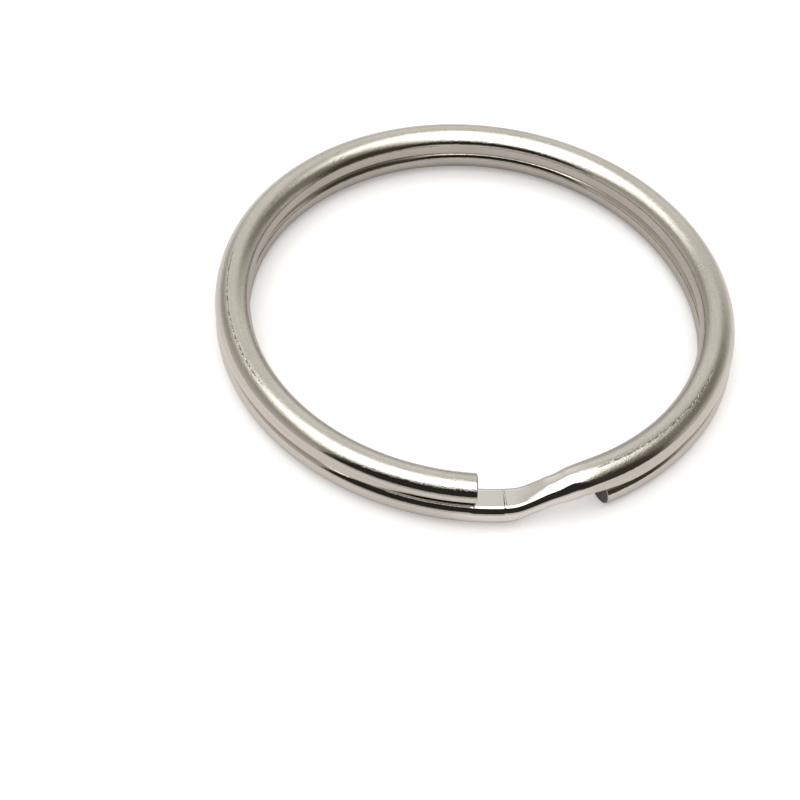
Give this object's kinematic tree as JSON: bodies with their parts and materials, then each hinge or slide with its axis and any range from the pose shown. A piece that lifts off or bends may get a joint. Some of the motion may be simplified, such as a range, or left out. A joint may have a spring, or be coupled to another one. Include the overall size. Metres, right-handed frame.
{
  "type": "split key ring",
  "caption": "Flat split key ring of flattened spring wire, coiled in stacked turns with a crossover and free ends that spring open.",
  "frame": {"origin": "centre of the ring, in the plane where its two turns meet", "axes": "+Z along the ring's axis, towards the upper turn; -Y from the centre to the crossover between the turns"},
  "size_m": [0.03, 0.0299, 0.003],
  "materials": {
    "nickel_plate": "bright nickel plate on spring steel, satin on the crowns of the turns, polished at the crossover"
  },
  "bodies": {
    "root": {"crossover": "nickel_plate", "upper_turn_start": "nickel_plate", "lower_turn_start": "nickel_plate"},
    "upper_first": {"upper_turn_right": "nickel_plate"},
    "upper_second": {"upper_turn_back_right": "nickel_plate"},
    "upper_third": {"upper_turn_back_left": "nickel_plate"},
    "upper_fourth": {"upper_turn_left": "nickel_plate"},
    "upper_fifth": {"upper_free_end": "nickel_plate"},
    "lower_first": {"lower_turn_left": "nickel_plate"},
    "lower_second": {"lower_turn_back_left": "nickel_plate"},
    "lower_third": {"lower_turn_back_right": "nickel_plate"},
    "lower_fourth": {"lower_turn_right": "nickel_plate"},
    "lower_fifth": {"lower_free_end": "nickel_plate"}
  },
  "joints": [
    {"name": "upper_first_twist", "type": "hinge", "parent": "root", "child": "upper_first", "pos_m": [0.01061, -0.01061, 0], "axis": [0.7071, 0.7071, 0], "range_deg": [0, 0.69], "stiffness_Nm_per_rad": 0.005},
    {"name": "upper_second_twist", "type": "hinge", "parent": "upper_first", "child": "upper_second", "pos_m": [0.01449, 0.00388, 0], "axis": [-0.2588, 0.9659, 0], "range_deg": [0, 1.99], "stiffness_Nm_per_rad": 0.005},
    {"name": "upper_end_opening", "type": "hinge", "parent": "upper_second", "child": "upper_third", "pos_m": [0.00388, 0.01449, 0], "axis": [-0.9659, 0.2588, 0], "range_deg": [0, 2.6], "stiffness_Nm_per_rad": 0.5},
    {"name": "upper_fourth_twist", "type": "hinge", "parent": "upper_third", "child": "upper_fourth", "pos_m": [-0.01061, 0.01061, 0], "axis": [-0.7071, -0.7071, 0], "range_deg": [0, 2.01], "stiffness_Nm_per_rad": 0.005},
    {"name": "upper_fifth_twist", "type": "hinge", "parent": "upper_fourth", "child": "upper_fifth", "pos_m": [-0.01449, -0.00388, 0], "axis": [0.2588, -0.9659, 0], "range_deg": [0, 0.71], "stiffness_Nm_per_rad": 0.005},
    {"name": "lower_first_twist", "type": "hinge", "parent": "root", "child": "lower_first", "pos_m": [-0.01061, -0.01061, 0], "axis": [-0.7071, 0.7071, 0], "range_deg": [0, 0.69], "stiffness_Nm_per_rad": 0.005},
    {"name": "lower_second_twist", "type": "hinge", "parent": "lower_first", "child": "lower_second", "pos_m": [-0.01449, 0.00388, 0], "axis": [0.2588, 0.9659, 0], "range_deg": [0, 1.99], "stiffness_Nm_per_rad": 0.005},
    {"name": "lower_end_opening", "type": "hinge", "parent": "lower_second", "child": "lower_third", "pos_m": [-0.00388, 0.01449, 0], "axis": [0.9659, 0.2588, 0], "range_deg": [0, 2.6], "stiffness_Nm_per_rad": 0.5},
    {"name": "lower_fourth_twist", "type": "hinge", "parent": "lower_third", "child": "lower_fourth", "pos_m": [0.01061, 0.01061, 0], "axis": [0.7071, -0.7071, 0], "range_deg": [0, 2.01], "stiffness_Nm_per_rad": 0.005},
    {"name": "lower_fifth_twist", "type": "hinge", "parent": "lower_fourth", "child": "lower_fifth", "pos_m": [0.01449, -0.00388, 0], "axis": [-0.2588, -0.9659, 0], "range_deg": [0, 0.71], "stiffness_Nm_per_rad": 0.005}
  ],
  "couplings": [
    {"joint": "upper_first_twist", "follows": "upper_end_opening", "ratio": 0.2477},
    {"joint": "upper_second_twist", "follows": "upper_end_opening", "ratio": 0.7477},
    {"joint": "upper_fourth_twist", "follows": "upper_end_opening", "ratio": 0.7523},
    {"joint": "upper_fifth_twist", "follows": "upper_end_opening", "ratio": 0.2523},
    {"joint": "lower_first_twist", "follows": "lower_end_opening", "ratio": 0.2477},
    {"joint": "lower_second_twist", "follows": "lower_end_opening", "ratio": 0.7477},
    {"joint": "lower_fourth_twist", "follows": "lower_end_opening", "ratio": 0.7523},
    {"joint": "lower_fifth_twist", "follows": "lower_end_opening", "ratio": 0.2523}
  ]
}
